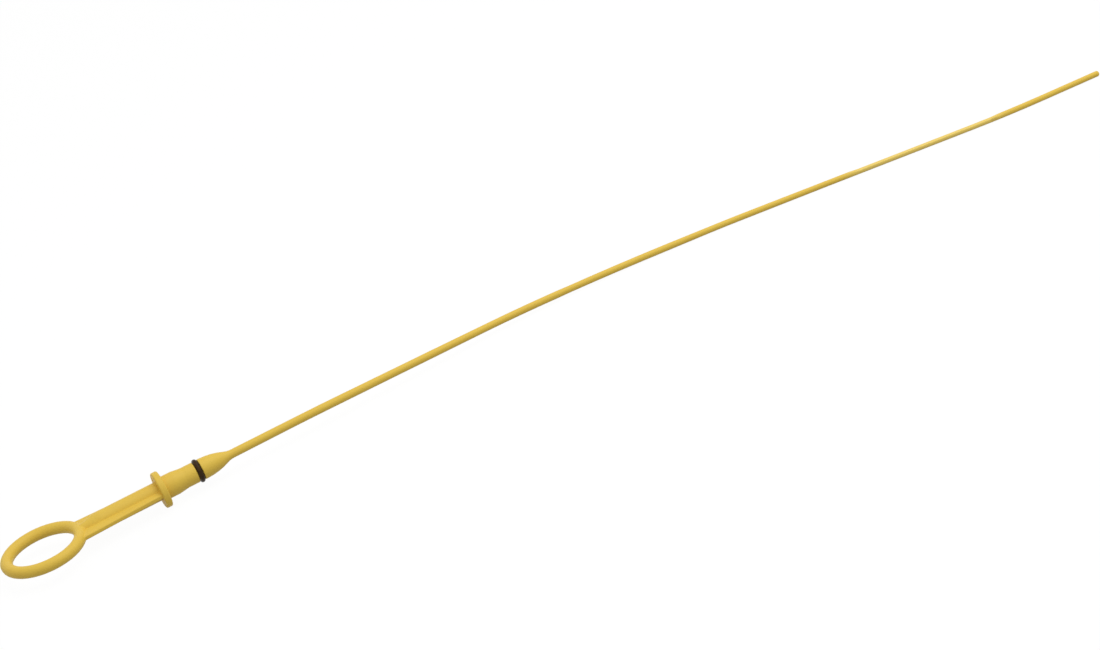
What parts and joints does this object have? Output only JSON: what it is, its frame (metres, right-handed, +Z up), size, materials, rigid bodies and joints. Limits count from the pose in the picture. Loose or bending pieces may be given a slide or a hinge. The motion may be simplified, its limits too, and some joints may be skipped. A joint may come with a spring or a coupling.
{
  "type": "engine oil dipstick",
  "caption": "Engine oil dipstick: finger ring and winged stem over a flanged plug with a seal ring, and a long thin springy rod with a flat gauge near its rounded tip.",
  "frame": {"origin": "centre of the flange's seat face, on the plug's axis", "axes": "+X down the plug towards the tip of the rod, +Z up, with the finger ring level"},
  "size_m": [0.5492, 0.0648, 0.0166],
  "materials": {
    "yellow_plastic": "satin moulded plastic, warm yellow all through",
    "black_rubber": "soft black rubber with a faint oily sheen"
  },
  "bodies": {
    "root": {"dipstick": "yellow_plastic", "seal_ring": "black_rubber"}
  },
  "joints": []
}
